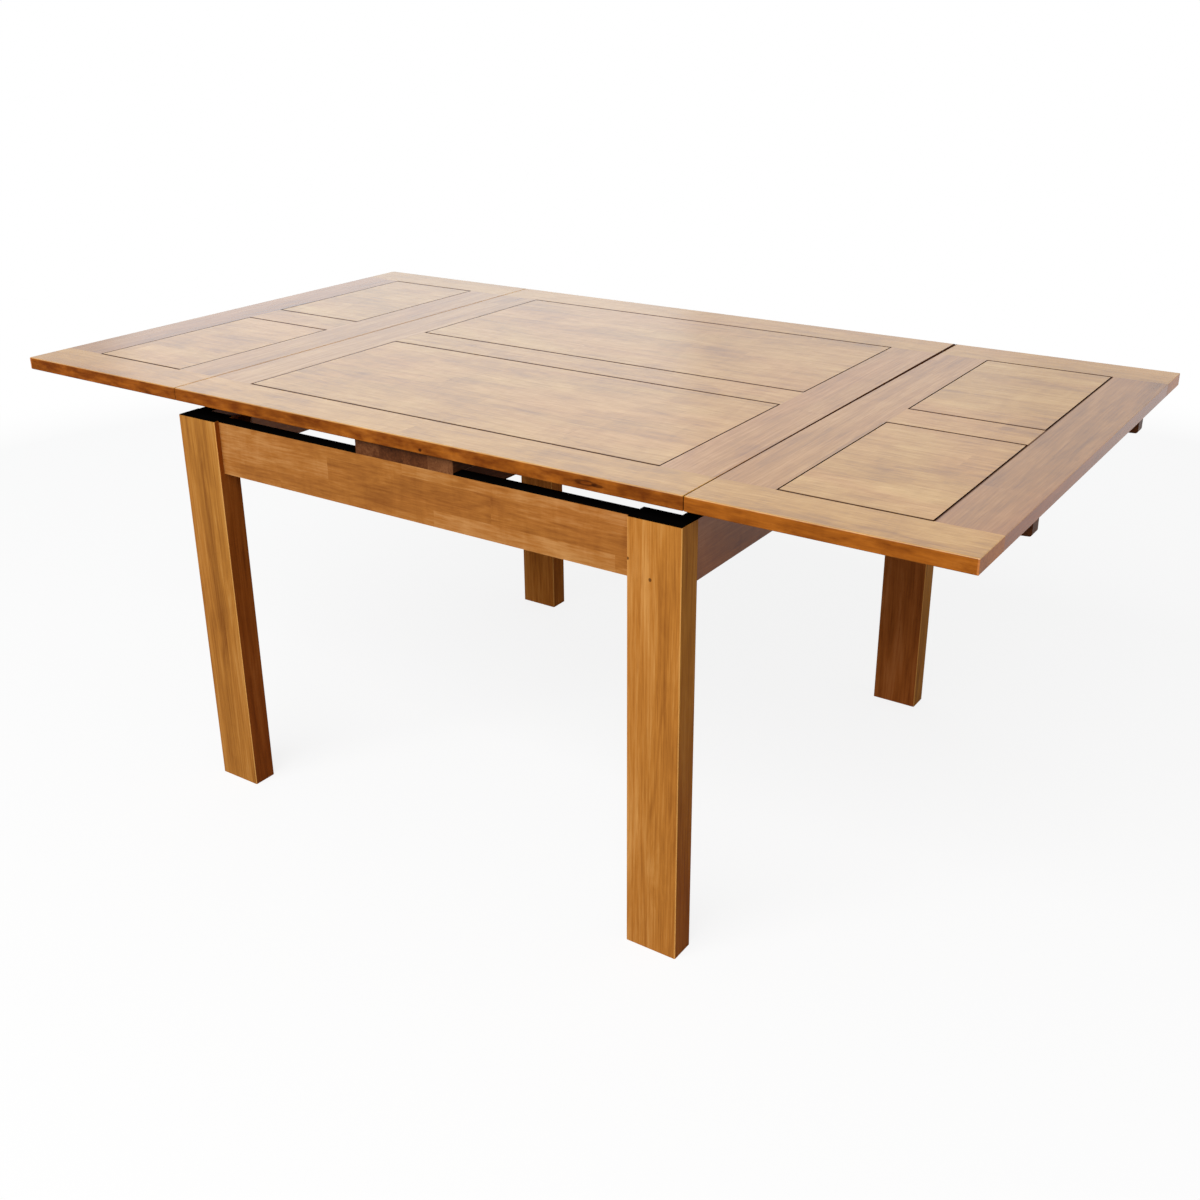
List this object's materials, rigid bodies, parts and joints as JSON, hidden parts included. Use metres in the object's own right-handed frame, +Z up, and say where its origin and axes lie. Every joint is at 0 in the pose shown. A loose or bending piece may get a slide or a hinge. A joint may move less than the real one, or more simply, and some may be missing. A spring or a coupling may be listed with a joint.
{
  "type": "extending dining table",
  "caption": "Draw-leaf dining table: a framed wooden top between two drawn-out leaves, on a railed frame with rectangular legs and sloping runners under the leaves.",
  "frame": {"origin": "on the floor, under the middle of the table", "axes": "+X along the table towards the right leaf, +Y across it to the back, +Z up"},
  "size_m": [1.8, 1, 0.75],
  "materials": {
    "board_wood": "satin lacquer",
    "panel_wood": "satin lacquer",
    "frame_wood": "satin lacquer",
    "dark_wood": "plain, unlacquered",
    "black_felt": "matt felt",
    "plated_steel": "zinc plated"
  },
  "bodies": {
    "frame": {"back_rail": "frame_wood", "back_rail_felt": "black_felt", "bearer_screws": "plated_steel", "brace_back_left": "dark_wood", "brace_back_right": "dark_wood", "brace_front_left": "dark_wood", "brace_front_right": "dark_wood", "centre_bearer": "dark_wood", "centre_guide_rail": "dark_wood", "front_rail": "frame_wood", "front_rail_felt": "black_felt", "left_end_rail": "frame_wood", "left_rail_felt": "black_felt", "leg_back_left": "frame_wood", "leg_back_right": "frame_wood", "leg_bolts": "plated_steel", "leg_felts": "black_felt", "leg_front_left": "frame_wood", "leg_front_right": "frame_wood", "right_end_rail": "frame_wood", "right_rail_felt": "black_felt"},
    "centre_top": {"centre_back_board": "board_wood", "centre_back_panel": "panel_wood", "centre_front_board": "board_wood", "centre_front_panel": "panel_wood", "centre_left_end_board": "board_wood", "centre_middle_board": "board_wood", "centre_right_end_board": "board_wood", "guide_peg_left": "dark_wood", "guide_peg_right": "dark_wood", "peg_washers": "plated_steel"},
    "left_leaf": {"left_leaf_back_board": "board_wood", "left_leaf_back_loper": "dark_wood", "left_leaf_back_panel": "panel_wood", "left_leaf_back_stop": "dark_wood", "left_leaf_front_board": "board_wood", "left_leaf_front_loper": "dark_wood", "left_leaf_front_panel": "panel_wood", "left_leaf_front_stop": "dark_wood", "left_leaf_inner_end_board": "board_wood", "left_leaf_middle_board": "board_wood", "left_leaf_outer_end_board": "board_wood", "left_leaf_screws": "plated_steel"},
    "right_leaf": {"right_leaf_back_board": "board_wood", "right_leaf_back_loper": "dark_wood", "right_leaf_back_panel": "panel_wood", "right_leaf_back_stop": "dark_wood", "right_leaf_front_board": "board_wood", "right_leaf_front_loper": "dark_wood", "right_leaf_front_panel": "panel_wood", "right_leaf_front_stop": "dark_wood", "right_leaf_inner_end_board": "board_wood", "right_leaf_middle_board": "board_wood", "right_leaf_outer_end_board": "board_wood", "right_leaf_screws": "plated_steel"}
  },
  "joints": [
    {"name": "centre_top_lift", "type": "slide", "parent": "frame", "child": "centre_top", "axis": [0, 0, 1], "range_m": [0, 0.032]},
    {"name": "right_leaf_slide", "type": "slide", "parent": "frame", "child": "right_leaf", "axis": [0.9984, 0, 0.0573], "range_m": [0, 0.012]},
    {"name": "left_leaf_slide", "type": "slide", "parent": "frame", "child": "left_leaf", "axis": [-0.9984, 0, 0.0573], "range_m": [0, 0.012]}
  ]
}
